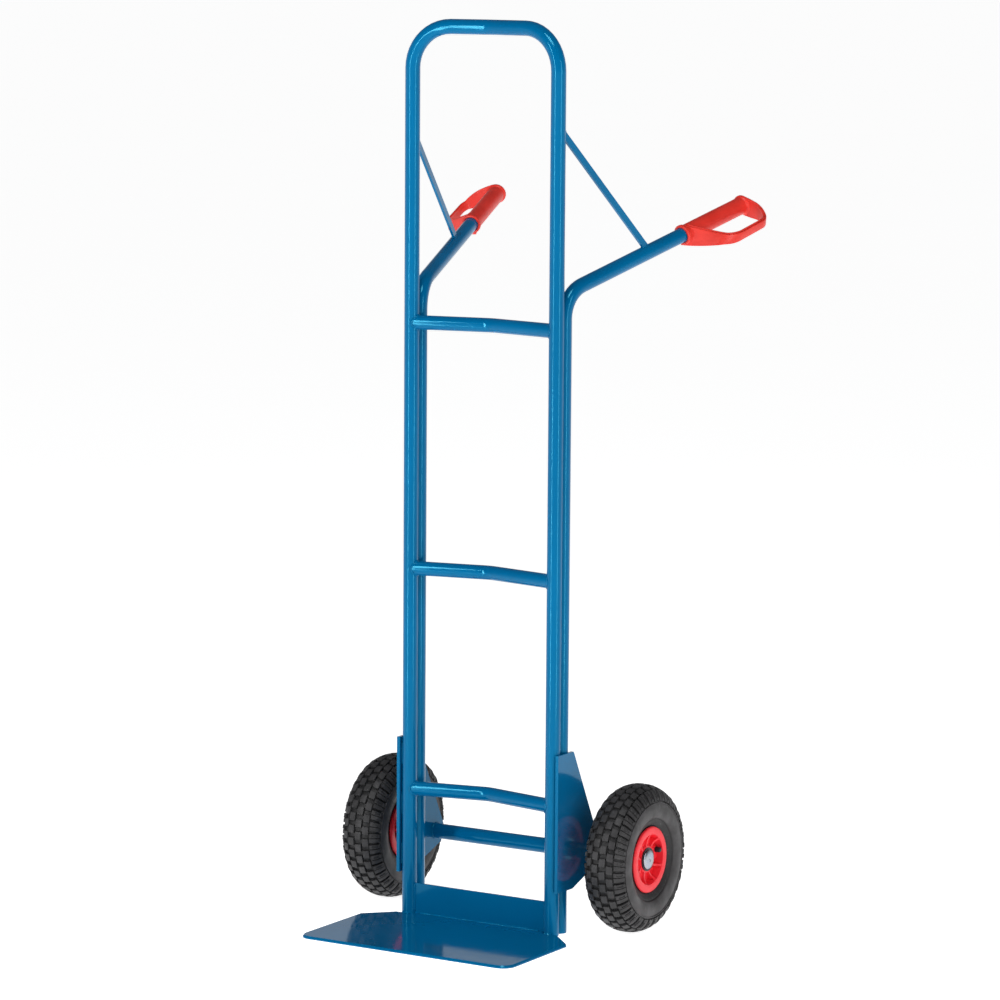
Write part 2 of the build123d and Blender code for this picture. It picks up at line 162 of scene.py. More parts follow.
def piece(name, mesh, body, slot, crease, stands_for=()):
    """Link a finished mesh as a piece of the truck."""
    obj = bpy.data.objects.new(name, mesh)
    bpy.context.scene.collection.objects.link(obj)
    dress(mesh, slot, crease)
    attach(obj, body)
    if stands_for:
        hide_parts(*stands_for)


def mirrored(shell):
    """The same shell on the other side of the middle plane, still facing outwards."""
    other = Shell()
    other.points = [Vector((-p[0], p[1], p[2])) for p in shell.points]
    other.faces = [list(face)[::-1] for face in shell.faces]
    return other


def for_side(shell, side):
    return shell if SIDES[side] > 0 else mirrored(shell)


def make_pair(node, kind, shell, body, slot, crease, join, flip=False, mark=None):
    """A detailed piece on each side, which takes the place of that side's CAD node.

    body is "frame" or "wheel", join is the distance under which points are one, and mark
    stores what the material needs on the mesh.
    """
    for side in SIDES:
        name = f"{side}_{node}_{kind}"
        mesh = make_mesh(name, for_side(shell, side), flip)
        weld_doubles(mesh, join)
        if mark:
            mark(mesh)
        rides_on = body if body == "frame" else f"{side}_{body}"
        piece(name, mesh, rides_on, slot, crease, [f"{side}_{node}"])


def between(a, b, t):
    return a + (b - a) * t


def evenly(start, end, count):
    """Evenly spaced values between two ends, without the ends."""
    return [between(start, end, (k + 1) / (count + 1)) for k in range(count)]


def smooth_step(t):
    t = min(1.0, max(0.0, t))
    return t * t * (3 - 2 * t)


def circle(centre, across, up, radius, count):
    """Points evenly round a circle that starts at the across side and turns towards up."""
    turns = [2 * pi * k / count for k in range(count)]
    return [centre + (across * cos(turn) + up * sin(turn)) * radius for turn in turns]


def wheel_point(across, radius, angle):
    """A point of the right wheel: across from its middle plane, angle from +Y towards +Z."""
    y = wheel_middle.y + radius * cos(angle)
    z = wheel_middle.z + radius * sin(angle)
    return Vector((wheel_middle.x + across, y, z))


# ---- materials

def map_range(tree, source, low, high, values):
    """Map a socket's value from low..high to the two values, and no further."""
    ramp = tree.nodes.new("ShaderNodeMapRange")
    ramp.inputs["From Min"].default_value = low
    ramp.inputs["From Max"].default_value = high
    ramp.inputs["To Min"].default_value = values[0]
    ramp.inputs["To Max"].default_value = values[1]
    tree.links.new(source, ramp.inputs["Value"])
    return ramp.outputs["Result"]


class Look:
    """A procedural material on the principled shader, in the piece's own coordinates."""

    def __init__(self, name, metallic=0.0, specular=0.5):
        self.material = bpy.data.materials.new(name)
        self.material.use_nodes = True
        self.tree = self.material.node_tree
        self.shader = self.tree.nodes["Principled BSDF"]
        self.place = self.node("ShaderNodeTexCoord").outputs["Object"]
        self.shader.inputs["Metallic"].default_value = metallic
        self.shader.inputs["Specular IOR Level"].default_value = specular

    def node(self, kind):
        return self.tree.nodes.new(kind)

    def link(self, source, target):
        self.tree.links.new(source, target)

    def noise(self, scale, detail=3.0, stretch=(1, 1, 1)):
        mapping = self.node("ShaderNodeMapping")
        mapping.inputs["Scale"].default_value = stretch
        self.link(self.place, mapping.inputs["Vector"])
        noise = self.node("ShaderNodeTexNoise")
        noise.inputs["Scale"].default_value = scale
        noise.inputs["Detail"].default_value = detail
        self.link(mapping.outputs["Vector"], noise.inputs["Vector"])
        return noise.outputs["Fac"]

    def ramp(self, source, low, high, values):
        return map_range(self.tree, source, low, high, values)

    def blend(self, factor, one, two):
        """A colour between one and two, each a colour or a socket."""
        mix = self.node("ShaderNodeMix")
        mix.data_type = "RGBA"
        self.link(factor, mix.inputs["Factor"])
        for value, name in ((one, 6), (two, 7)):
            if isinstance(value, tuple):
                mix.inputs[name].default_value = (*value, 1)
            else:
                self.link(value, mix.inputs[name])
        return mix.outputs[2]

    def colour(self, source):
        self.link(source, self.shader.inputs["Base Color"])

    def roughness(self, source):
        self.link(source, self.shader.inputs["Roughness"])

    def bump(self, layers):
        """Stack height layers, each (source, depth in metres)."""
        normal = None
        for source, depth in layers:
            bump = self.node("ShaderNodeBump")
            bump.inputs["Strength"].default_value = 1.0
            bump.inputs["Distance"].default_value = depth
            self.link(source, bump.inputs["Height"])
            if normal:
                self.link(normal, bump.inputs["Normal"])
            normal = bump.outputs["Normal"]
        self.link(normal, self.shader.inputs["Normal"])


def enamel():
    """Glossy blue powder coat: faint orange peel, slow drifts of shade, a few dull rubs."""
    look = Look("blue_enamel", specular=0.40)
    look.shader.inputs["Specular Tint"].default_value = (0.15, 0.80, 1.0, 1)
    drift = look.ramp(look.noise(4.0, 2), 0.35, 0.65, (0, 1))
    base = look.blend(drift, (0.0, 0.103, 0.250), (0.0, 0.117, 0.280))
    rub = look.ramp(look.noise(38.0, 5, (1, 1, 0.35)), 0.60, 0.80, (0, 0.35))
    look.colour(look.blend(rub, base, (0.003, 0.090, 0.215)))
    look.roughness(look.ramp(look.noise(60.0, 4), 0.3, 0.7, (0.06, 0.12)))
    look.bump([(look.noise(420.0, 2), 0.000003), (look.noise(26.0, 2), 0.00006)])
    return look.material


def moulded(name, dark, light, rough, grain):
    """Moulded plastic: soft flow marks, a fine spark-eroded grain and handling shine."""
    look = Look(name, specular=0.30)
    flow = look.ramp(look.noise(22.0, 4, (1, 1, 1.6)), 0.32, 0.68, (0, 1))
    look.colour(look.blend(flow, dark, light))
    look.roughness(look.ramp(look.noise(90.0, 4), 0.3, 0.7, rough))
    look.bump([(look.noise(1500.0, 2), grain), (look.noise(120.0, 3), grain * 2.5)])
    return look.material


def rubber():
    """Dark grey tyre rubber: dusty on the lugs' tops and the side, painted shade in the grooves and
    the band by the rim, with small scuffs.
    """
    look = Look("tyre_rubber", specular=0.28)
    dust = look.ramp(look.noise(34.0, 6), 0.36, 0.68, (0, 1))
    worn = look.blend(dust, (0.036, 0.035, 0.036), (0.070, 0.068, 0.071))
    wear_and_shade = look.node("ShaderNodeAttribute")
    wear_and_shade.attribute_name = "wear_and_shade"
    # painted shade: where the mark is low, in the grooves and next to the rim, the colour goes to the
    # darker grey below
    top = look.ramp(wear_and_shade.outputs["Fac"], 0.15, 0.95, (0, 1))
    base = look.blend(top, (0.017, 0.017, 0.018), worn)
    scuff = look.ramp(look.noise(210.0, 5), 0.60, 0.78, (0, 0.45))
    look.colour(look.blend(scuff, base, (0.110, 0.108, 0.110)))
    look.roughness(look.ramp(look.noise(55.0, 5), 0.3, 0.7, (0.40, 0.60)))
    look.bump([(look.noise(900.0, 3), 0.00008), (look.noise(150.0, 4), 0.00018)])
    return look.material


def zinc(name, tone, rough):
    """Bright zinc plate: bluish, faintly spangled, with fine turning marks."""
    look = Look(name, metallic=1.0)
    cool = tuple(tone * c for c in (0.78, 0.92, 1.12))
    warm = tuple(tone * c for c in (0.98, 1.00, 1.02))
    spangle = look.ramp(look.noise(130.0, 4), 0.3, 0.7, (0, 1))
    look.colour(look.blend(spangle, cool, warm))
    look.roughness(look.ramp(look.noise(320.0, 5), 0.3, 0.7, rough))
    look.bump([(look.noise(650.0, 4), 0.00005), (look.noise(45.0, 2), 0.0002)])
    return look.material


# the moulded finishes: darkest and lightest colour, range of roughness, depth of the grain
MOULDED = {
    "grip_plastic": ((0.63, 0.028, 0.018), (0.73, 0.039, 0.027), (0.30, 0.42), 0.00002),
    "rim_plastic": ((0.79, 0.018, 0.030), (0.88, 0.027, 0.042), (0.28, 0.40), 0.00002),
    "tube_rubber": ((0.014, 0.014, 0.014), (0.026, 0.026, 0.026), (0.5, 0.7), 0.00005),
    "black_plastic": ((0.006, 0.007, 0.010), (0.014, 0.015, 0.020), (0.28, 0.42), 0.00003),
    "cage_plastic": ((0.62, 0.58, 0.48), (0.72, 0.69, 0.59), (0.35, 0.5), 0.00003),
}
FINISH = {name: moulded(name, *values) for name, values in MOULDED.items()}
FINISH["frame_paint"] = enamel()
FINISH["tyre_rubber"] = rubber()
FINISH["zinc_steel"] = zinc("zinc_steel", 0.42, (0.24, 0.38))
FINISH["bearing_steel"] = zinc("bearing_steel", 0.52, (0.14, 0.26))


# ---- pieces carried over from the frame

EDGED_PLATES = [
    "toe_plate", "heel_plate", "right_axle_bracket", "left_axle_bracket", "right_brace", "left_brace",
]
PLATE_EDGE = 0.0007


def round_plate_edges():
    """Take the sharpness off the cut edges of the plates and flat bars."""
    for name in EDGED_PLATES:
        bevel = nodes[name].modifiers.new("edges", "BEVEL")
        bevel.width = PLATE_EDGE
        bevel.segments = 2
        bevel.limit_method = "ANGLE"
        bevel.angle_limit = radians(40)
        bevel.harden_normals = True


def finish_cad_nodes():
    """Give every carried-over CAD node the finish of its slot."""
    for part in frame["record"]["subparts"]:
        dress(nodes[part["node"]].data, part["material_slot"], crease=32)


# ---- tyres

PITCHES = 36                # tread pattern repeats this often round the tyre
TREAD_WALL = 0.036          # width of a block's side, as a share of the pitch
TREAD_DEPTH = 0.0050
LUG_EDGE = 71.5             # degrees round the section where the shoulder lugs end
SECTION_R = 0.091           # radius of the section's widest place
SQUARENESS = 2.4            # 2 is an ellipse, more is fuller at the shoulders
SIDE_SHADE_R = 0.0735        # the side is painted darker inside this radius, painted shade in the band by the rim, and dusty outside it
SIDE_FADE = 0.004           # and the painted shade fades out over this much
LUG_FADE = 0.002            # and painted shade comes back over this much below the lugs' ends
# the mark on the dusty side and on the lugs' tops; lower values are painted darker, as shade
SIDE_WEAR_AND_SHADE = 1.0
TREAD_WEAR_AND_SHADE = 0.50
BEAD_R = 0.0606
BEAD_TOE = 0.0276           # half the width between the beads' outer edges, where they sit
MOUTH = 0.0175              # half the opening between the beads
SEAT_R = 0.0506             # the rim's seat under the beads
CAVITY = (0.0355, 0.037, 0.088)     # air space: half width, half height, radius to its middle
TREAD_SLANT = 0.16          # how far the lugs run ahead at their outer end, in pitches
CENTRE_BAND = 20            # degrees either side of the crown where the blocks lean back
SIDE_STEP = 4               # the smooth side has one grid line for this many of the tread's
# each block: start and end round the tyre as a share of the pitch, then the degrees it covers
# across the section, and how far its top lies under the full tread
BLOCKS = [
    (0.05, 0.66, 1.2, 14.1, 0.0),
    (0.55, 1.16, 17.9, 34.0, 0.0003),
    (0.36, 0.56, 37.6, LUG_EDGE, 0.0026),
    (0.02, 0.40, 37.6, LUG_EDGE, 0.0),
    (0.49, 0.82, 37.6, LUG_EDGE, 0.0004),
]
# the raised frame on the broad lug and the sunk panel inside it, by the first four of these
LUG_FRAME = (0.07, 0.35, 42.3, 67.5)
LUG_PANEL = (0.13, 0.29, 46.0, 63.5)
FRAME_RISE = 0.0004
PANEL_SINK = 0.0009
WALL_DEGREES = 0.9          # width of a block's side across the section
FRAME_WALL = (0.02, 0.6)    # width of the frame's sides, as a share of the pitch and in degrees
LEAST_GAP = 0.009           # grid lines round the tyre stay this far apart, in pitches
# the side, from its widest place down to the bead, as (across, radius) in millimetres
SIDE_OUTLINE_MM = [
    (41.3, 91.0), (41.1, 87.5), (40.5, 84.0), (39.6, 81.0), (38.4, 78.2), (37.0, 76.0),
    (36.3, 75.0), (35.0, 74.6), (34.3, 73.8), (34.3, 73.0), (33.6, 71.0), (32.4, 68.4),
    (31.0, 65.8), (29.8, 63.6), (28.8, 61.8), (28.1, 60.9), (28.0, 60.6),
]


def tread_lines():
    """Where grid lines run round one pitch, so that every block has crisp sides."""
    edges = set()
    for start, end, _, _, _ in BLOCKS:
        edges.update((start, start - TREAD_WALL, end % 1, (end + TREAD_WALL) % 1))
    for start, end in (LUG_FRAME[:2], LUG_PANEL[:2]):
        edges.update((start, start - FRAME_WALL[0], end, end + FRAME_WALL[0]))
    edges.update([(edge + 0.5) % 1 for edge in edges])
    lines = sorted(round(edge % 1, 4) for edge in edges)
    kept = [lines[0]]
    for line in lines[1:]:
        if line - kept[-1] > LEAST_GAP:
            kept.append(line)
    return kept


def within(v, start, end):
    """Whether a place round the pitch lies between two others, or on them."""
    slack = 0.006
    return any(start - slack <= v + turn <= end + slack for turn in (-1, 0, 1))


def tread_height(v, degrees):
    """How far the tread's surface stands from its full section at one place."""
    if degrees < 0:
        v = (v + 0.5) % 1
    across = abs(degrees)
    height = -TREAD_DEPTH
    for start, end, low, high, drop in BLOCKS:
        if within(v, start, end) and low - 0.01 <= across <= high + 0.01:
            height = -drop
    if within(v, *LUG_FRAME[:2]) and LUG_FRAME[2] - 0.01 <= across <= LUG_FRAME[3] + 0.01:
        height = FRAME_RISE
        if within(v, *LUG_PANEL[:2]) and LUG_PANEL[2] - 0.01 <= across <= LUG_PANEL[3] + 0.01:
            height = -PANEL_SINK
    return height


def tread_rows():
    """Degrees across the tread where grid lines run, from crown to lug edge."""
    rows = {0.0}
    for _, _, low, high, _ in BLOCKS:
        rows.update((low - WALL_DEGREES, low, high, high + WALL_DEGREES))
    for low, high in (LUG_FRAME[2:], LUG_PANEL[2:]):
        rows.update((low - FRAME_WALL[1], low, high, high + FRAME_WALL[1]))
    rows.update((5.0, 9.5, 22.0, 28.0, 55.0))
    return sorted(row for row in rows if 0 <= row <= LUG_EDGE)


def section_size():
    """Half width of the tyre's section and its rise from the widest place to the crown."""
    return (tyre_high.x - tyre_low.x) / 2, (tyre_high.z - tyre_low.z) / 2 - SECTION_R


def section_point(degrees, height):
    """A point of the tyre's full section, as (across, radius)."""
    half_width, rise = section_size()
    turn = radians(degrees)
    across = abs(sin(turn)) ** (2 / SQUARENESS) * (1 if degrees >= 0 else -1)
    up = cos(turn) ** (2 / SQUARENESS)
    slope = SQUARENESS - 1
    normal = Vector((
        abs(across) ** slope / half_width * (1 if degrees >= 0 else -1), up ** slope / rise,
    )).normalized()
    return Vector((half_width * across, SECTION_R + rise * up)) + normal * height


def mark_wear_and_shade(mesh):
    """Store a mark on each vertex for wear and painted shade: 1 on a lug's top, 0 in a groove or at
    the rim, where painted shade darkens it.
    """
    half_width, rise = section_size()
    lug_end = section_point(LUG_EDGE, 0).y
    wear_and_shade = mesh.attributes.new("wear_and_shade", "FLOAT", "POINT")
    middle_x = sum(v.co.x for v in mesh.vertices) / len(mesh.vertices)
    for k, vertex in enumerate(mesh.vertices):
        across = abs(vertex.co.x - middle_x) / half_width
        radius = hypot(vertex.co.y - wheel_middle.y, vertex.co.z - wheel_middle.z)
        up = max(0.0, radius - SECTION_R) / rise
        fullness = (across ** SQUARENESS + up ** SQUARENESS) ** (1 / SQUARENESS)
        tread = max(0.0, 1 - (1 - fullness) * half_width / TREAD_DEPTH)
        # painted shade: the side is marked 0 in the band next to the rim and again below the lugs'
        # ends
        side = smooth_step((radius - SIDE_SHADE_R) / SIDE_FADE)
        side *= smooth_step((lug_end - radius) / LUG_FADE)
        wear_and_shade.data[k].value = max(TREAD_WEAR_AND_SHADE * tread, SIDE_WEAR_AND_SHADE * side)


def side_rows():
    """The side from the lugs down to the bead, as (across, radius) of the outboard half."""
    steps = [
        (LUG_EDGE + 0.9, -0.0038), (LUG_EDGE + 3.2, -0.0038), (LUG_EDGE + 4.0, -0.0012),
        (LUG_EDGE + 5.8, -0.0010), (LUG_EDGE + 6.6, -0.0024), (81, -0.0021), (84.5, -0.0016),
        (87.5, -0.0013),
    ]
    points = [section_point(degrees, height) for degrees, height in steps]
    return points + [Vector(point) * MM for point in SIDE_OUTLINE_MM]


def inside_rows():
    """From one bead round the air space to the other, as (across, radius)."""
    half_across, half_up, middle = CAVITY
    toe_r = SEAT_R + 0.0004
    points = [Vector((BEAD_TOE, BEAD_R - 0.0006)), Vector((BEAD_TOE, toe_r)), Vector((MOUTH, toe_r))]
    start = asin(MOUTH / half_across)
    count = 9
    for k in range(count + 1):
        turn = between(start, pi, k / count)
        points.append(Vector((half_across * sin(turn), middle - half_up * cos(turn))))
    other = [Vector((-p.x, p.y)) for p in points[:-1]]
    return points + other[::-1]


def tread_ring(columns, degrees):
    """The grid line round the tread at one place across its section."""
    lean = TREAD_SLANT * (abs(degrees) / LUG_EDGE) ** 1.3
    shear = lean if abs(degrees) > CENTRE_BAND else -lean
    row = []
    for column in columns:
        point = section_point(degrees, tread_height(column % 1, degrees))
        row.append(wheel_point(point.x, point.y, 2 * pi * (column + shear) / PITCHES))
    return row


def plain_ring(columns, point):
    """The grid line round the tyre through one (across, radius) point off the tread."""
    return [wheel_point(point.x, point.y, 2 * pi * (c + TREAD_SLANT) / PITCHES) for c in columns]


def tyre_shell():
    """The whole tyre: a fine grid over the tread, a coarser one round the rest, and a seam."""
    columns = [turn + line for turn in range(PITCHES) for line in tread_lines()]
    rows = tread_rows()
    dense = [tread_ring(columns, -d) for d in rows[::-1] if d > 0]
    dense += [tread_ring(columns, d) for d in rows]
    side = side_rows()
    rest = side + inside_rows() + [Vector((-p.x, p.y)) for p in side[::-1]]
    sparse = [plain_ring(columns[::SIDE_STEP], point) for point in rest]
    shell = Shell()
    first = shell.rows(dense)
    second = shell.rows(sparse)
    count = len(columns)
    last = first + (len(dense) - 1) * count
    close = second + (len(sparse) - 1) * len(sparse[0])
    for j in range(len(sparse[0])):
        k = (j + 1) % len(sparse[0])
        run = [(j * SIDE_STEP + i) % count for i in range(SIDE_STEP + 1)]
        shell.faces.append([last + i for i in run] + [second + k, second + j])
        shell.faces.append([close + j, close + k] + [first + i for i in run[::-1]])
    return shell


def make_tyres():
    make_pair("tyre", "treaded", tyre_shell(), "wheel", "tyre_rubber",
              crease=38, join=1e-7, flip=True, mark=mark_wear_and_shade)


# ---- rims

RIM_R = 0.060
RIM_FACE = 0.033            # the ring's face, from the wheel's middle plane
RING_INNER = 0.0456
RING_MIDDLE = 0.053         # radius where the ring stands highest
RING_HALF = 0.007
RING_CROWN = 0.0008         # how much lower the ring is at its edges
PLAIN_R = 0.050             # over the ring and the back, grid lines keep their angles from here
HUB_R = 0.024
HUB_BORE = 0.0166
WEB_BACK = 0.014
RIB_HALF = 0.0017
EDGE_INSET = 0.0004         # a grid line this far inside a top edge keeps the top flat
DRAFT = 0.0009              # width of a wall's steep part, and again of its foot
LEAST_TURN = 0.05           # degrees that the grid's lines keep apart
VALVE_ANGLE = 17.0
# the outer half's ribs stand in pairs either side of RIB_AXIS, in degrees
RIB_AXIS = 11.0
RIB_FIRST = 35.0
RIB_STEP = 38.5
RIB_PAIRS = 4
RIB_LEAN = 10.0             # how much further round a rib is at the hub
RIB_DROP = 0.0012           # how far under the ring's face a rib ends
INNER_RIBS = 10
# the flat land round the valve: across from the valve's line, out to a radius, and its height
VALVE_LAND = (-0.0165, 0.0072, 0.0405, 0.0215)


def ring_face(radius):
    """Height of the ring's gently crowned face."""
    return RIM_FACE - RING_CROWN * ((radius - RING_MIDDLE) / RING_HALF) ** 2


def pocket_share(distance):
    """How much of a wall's height is left at a distance from its top edge."""
    foot = 0.14
    if distance <= 0:
        return 1.0
    if distance < DRAFT:
        return between(1.0, foot, distance / DRAFT)
    if distance < 2 * DRAFT:
        return between(foot, 0.0, (distance - DRAFT) / DRAFT)
    return 0.0


def turned_by(degrees):
    """The same turn between -180 and 180."""
    return (degrees + 180) % 360 - 180


class RimFace:
    """The pocketed face of one half of a rim, as a height over radius and angle."""

    def __init__(self, ribs, hub_end, floor_in, floor_out, land=None):
        self.ribs = ribs            # each (angle at the ring, how much further round at the hub)
        self.hub_end = hub_end
        self.floor_in = floor_in    # height of the pockets' floor at the hub
        self.floor_out = floor_out  # and at the ring
        self.land = land

    def share(self, radius):
        """0 at the hub, 1 at the ring."""
        return min(1.0, max(0.0, (radius - HUB_R) / (RING_INNER - HUB_R)))

    def rib_angle(self, rib, radius):
        """Where a rib stands at one radius, in degrees."""
        angle, lean = rib
        return angle + lean * (1 - self.share(radius)) ** 1.6

    def height(self, radius, angle):
        """How far the face stands from the wheel's middle plane."""
        share = self.share(radius)
        floor = between(self.floor_in, self.floor_out, smooth_step(share))
        ring_top = ring_face(radius)
        rib_top = between(self.hub_end, ring_top - RIB_DROP, share ** 2.4)
        near = min(abs(turned_by(angle - self.rib_angle(rib, radius))) for rib in self.ribs)
        rib_distance = radians(near) * radius - RIB_HALF
        best = floor + (rib_top - floor) * pocket_share(rib_distance)
        best = max(best, floor + (self.hub_end - floor) * pocket_share(radius - HUB_R))
        best = max(best, floor + (ring_top - floor) * pocket_share(RING_INNER - radius))
        if self.land:
            start, end, reach, top = self.land
            across = radians(turned_by(angle - VALVE_ANGLE)) * radius
            outside = max(start - across, across - end, radius - reach)
            best = max(best, floor + (top - floor) * pocket_share(outside))
        return best

    def land_columns(self, to_degrees):
        """Angles of the lines along the sides and the top of the land round the valve."""
        start, end, _, _ = self.land
        steps = (-EDGE_INSET, 0, DRAFT, 2 * DRAFT)
        across = [start - step for step in reversed(steps)]
        across += evenly(start, end, 4)
        across += [end + step for step in steps]
        return [VALVE_ANGLE + value * to_degrees for value in across]

    def columns(self, radius):
        """Angles of the grid's lines at one radius, following the ribs' sides."""
        offsets = [0, RIB_HALF - EDGE_INSET, RIB_HALF, RIB_HALF + DRAFT, RIB_HALF + 2 * DRAFT]
        to_degrees = 180 / pi / radius
        angles = []
        ribs = sorted(self.ribs)
        for k, rib in enumerate(ribs):
            here = self.rib_angle(rib, radius)
            following = ribs[(k + 1) % len(ribs)]
            there = self.rib_angle(following, radius) + (360 if k == len(ribs) - 1 else 0)
            sector = [here + offset * to_degrees for offset in offsets]
            end = [there - offset * to_degrees for offset in offsets[:0:-1]]
            if self.land and rib[0] < VALVE_ANGLE < following[0]:
                land = self.land_columns(to_degrees)
                inner = evenly(sector[-1], land[0], 6) + land + evenly(land[-1], end[0], 6)
            else:
                inner = evenly(sector[-1], end[0], 9)
            angles += sector + inner + end
        apart = [angles[0]]
        for angle in angles[1:]:
            apart.append(max(angle, apart[-1] + LEAST_TURN))
        return apart

    def radii(self):
        """Radii of the grid's rings, from the hub's edge to the ring's."""
        walls = [0, DRAFT, 2 * DRAFT]
        low = [HUB_R + step for step in walls]
        high = [RING_INNER - step for step in reversed(walls)]
        inner = evenly(low[-1], high[0], 6)
        if self.land:
            inner += [self.land[2] + step for step in (-EDGE_INSET, 0, DRAFT, 2 * DRAFT)]
            inner = sorted(inner)
            inner = [r for k, r in enumerate(inner) if k == 0 or r - inner[k - 1] > 0.0003]
        return [HUB_R - 0.0005] + low + inner + high + [RING_INNER + 0.0007]


def rim_shell(face, sign):
    """One half of a rim: its pocketed face, flange, seat, web and hub in one closed shell."""
    def ring(across, radius, angles):
        return [wheel_point(sign * across, radius, radians(a)) for a in angles]

    plain = face.columns(PLAIN_R)
    hub_edge = face.columns(HUB_R)
    hub = [(0, HUB_BORE), (face.hub_end - 0.0008, HUB_BORE), (face.hub_end, HUB_BORE + 0.0008)]
    rows = [ring(across, radius, hub_edge) for across, radius in hub]
    for radius in face.radii():
        angles = face.columns(radius)
        rows.append([wheel_point(sign * face.height(radius, a), radius, radians(a)) for a in angles])
    flange = [(ring_face(radius), radius) for radius in (0.048, 0.0515, 0.055, 0.0575)]
    flange += [
        (0.0321, 0.0588), (0.0313, 0.0596), (0.0302, RIM_R), (0.0290, RIM_R - 0.0001),
        (0.0281, RIM_R - 0.0009), (0.0281, SEAT_R + 0.0009), (0.0272, SEAT_R), (0, SEAT_R),
        (0, RING_INNER), (WEB_BACK, RING_INNER), (WEB_BACK, HUB_R), (0, HUB_R),
    ]
    rows += [ring(across, radius, plain) for across, radius in flange]
    shell = Shell()
    shell.rows(rows, loop=True)
    return shell


def make_rims():
    """The outer halves with paired ribs and a valve, the inner halves with even ribs."""
    spread = [RIB_FIRST + RIB_STEP * k for k in range(RIB_PAIRS)]
    outer_ribs = [(RIB_AXIS + s, RIB_LEAN) for s in spread]
    outer_ribs += [(RIB_AXIS - s, -RIB_LEAN) for s in spread]
    outer = RimFace(outer_ribs, hub_end=0.025, floor_in=0.0205, floor_out=0.0165, land=VALVE_LAND)
    inner_ribs = [(VALVE_ANGLE + 360 / INNER_RIBS * (k + 0.5) - 180, 0.0) for k in range(INNER_RIBS)]
    inner = RimFace(inner_ribs, hub_end=0.036, floor_in=0.018, floor_out=0.018)
    for node, face, sign in (("outer_rim", outer, 1), ("inner_rim", inner, -1)):
        shell = rim_shell(face, sign)
        make_pair(node, "ribbed", shell, "wheel", "rim_plastic", crease=42, join=1e-7)


# ---- turned pieces

TURNED_SIDES = 96


def spun(outline, centre, wave=None):
    """Turn (across, radius) points about an axis along X; a radius of 0 closes the end.

    wave gives a factor on the radius at a place across and an angle.
    """
    rows = []
    for across, radius in outline:
        row = []
        for k in range(TURNED_SIDES):
            angle = 2 * pi * k / TURNED_SIDES
            r = radius * (wave(across, angle) if wave else 1.0)
            y, z = centre.y + r * cos(angle), centre.z + r * sin(angle)
            row.append(Vector((centre.x + across, y, z)))
        rows.append(row)
    shell = Shell()
    shell.rows(rows)
    return shell


def make_hub_caps():
    """Domed zinc caps with a rolled rim, a pressed ring and a small centre mark."""
    rise = cap_high.x - cap_low.x
    half = (cap_high.z - cap_low.z) / 2
    middle = Vector((cap_low.x, wheel_middle.y, wheel_middle.z))
    outline = [
        (0.0002, 0.0), (0.0002, half * 0.86), (0.0, half * 0.91), (0.0004, half * 0.935),
        (0.0009, half * 0.94), (0.0014, half * 0.93), (0.0019, half * 0.90), (0.0026, half * 0.83),
        (0.0033, half * 0.74), (0.0037, half * 0.62), (0.00395, half * 0.5), (0.0041, half * 0.40),
        (0.00425, half * 0.28), (0.0043, half * 0.20), (0.0040, half * 0.165), (0.0035, half * 0.12),
        (0.0034, half * 0.07), (0.0040, half * 0.045), (rise * 0.96, half * 0.02), (rise * 0.96, 0.0),
    ]
    shell = spun(outline, middle)
    make_pair("hub_cap", "domed", shell, "frame", "zinc_steel", crease=60, join=1e-6)


FLUTES = 12
FLUTE_DEPTH = 0.07          # as a share of the radius


def make_valve_caps():
    """Fluted screw caps with a rounded tip."""
    middle = Vector((valve_low.x, (valve_low.y + valve_high.y) / 2, (valve_low.z + valve_high.z) / 2))
    length = valve_high.x - valve_low.x
    half = (valve_high.z - valve_low.z) / 2
    outline = [
        (0.0012, 0.0034), (0.0, 0.0034), (0.0, half * 0.92), (0.0004, half), (0.0016, half),
        (0.0020, half * 0.97), (length * 0.74, half * 0.97), (length * 0.80, half * 0.93),
        (length * 0.90, half * 0.82), (length * 0.965, half * 0.64), (length * 0.992, half * 0.4),
        (length, half * 0.2), (length, 0.0),
    ]

    def flutes(across, angle):
        depth = FLUTE_DEPTH if 0.0018 < across < length * 0.82 else 0.0
        return 1 - depth * max(0.0, cos(angle * FLUTES)) ** 0.7

    shell = spun(outline, middle, flutes)
    shell.cap(shell.points[:TURNED_SIDES], flip=True)
    make_pair("valve_cap", "fluted", shell, "wheel", "black_plastic", crease=50, join=1e-6)


# ---- grips

GRIP_START = 0.311          # along the handle from its corner
GRIP_END = 0.483
GRIP_BORE_R = 0.0136
SLEEVE_R = 0.0161
COLLAR_R = 0.0185
GUARD_DROOP = radians(20.3)
guard_out = handle_out * cos(GUARD_DROOP) - handle_up * sin(GUARD_DROOP)
guard_up = handle_out * sin(GUARD_DROOP) + handle_up * cos(GUARD_DROOP)
GUARD_VOXEL = 0.00095
# corners of the guard's outer edge, above and below, as (out from the handle, along it)
GUARD_TOP = [(0, 0.320), (0.0748, 0.3735), (0.0712, 0.4712), (0.0400, 0.4846), (0, 0.4830)]
GUARD_LOW = [(0, 0.3125), (0.0762, 0.3618), (0.0716, 0.4712), (0.0400, 0.4846), (0, 0.4830)]
GUARD_BENDS = (0.048, 0.026, 0.060)
GUARD_HALF = (0.00875, 0.0089)      # reach above and below its middle plane, far from the handle
GUARD_TAPER = 0.064                 # how far out it tapers
# how much more it reaches at the handle and the taper's power, above and then below
GUARD_FRONT = ((0.0108, 0.65), (0.0125, 1.6))
GUARD_BACK = ((0.0104, 2.6), (0.0104, 2.0))


def on_handle(along, out, up):
    """A point by distance along the handle, then out and up in the guard's own slant."""
    return handle_corner + handle_way * along + guard_out * out + guard_up * up


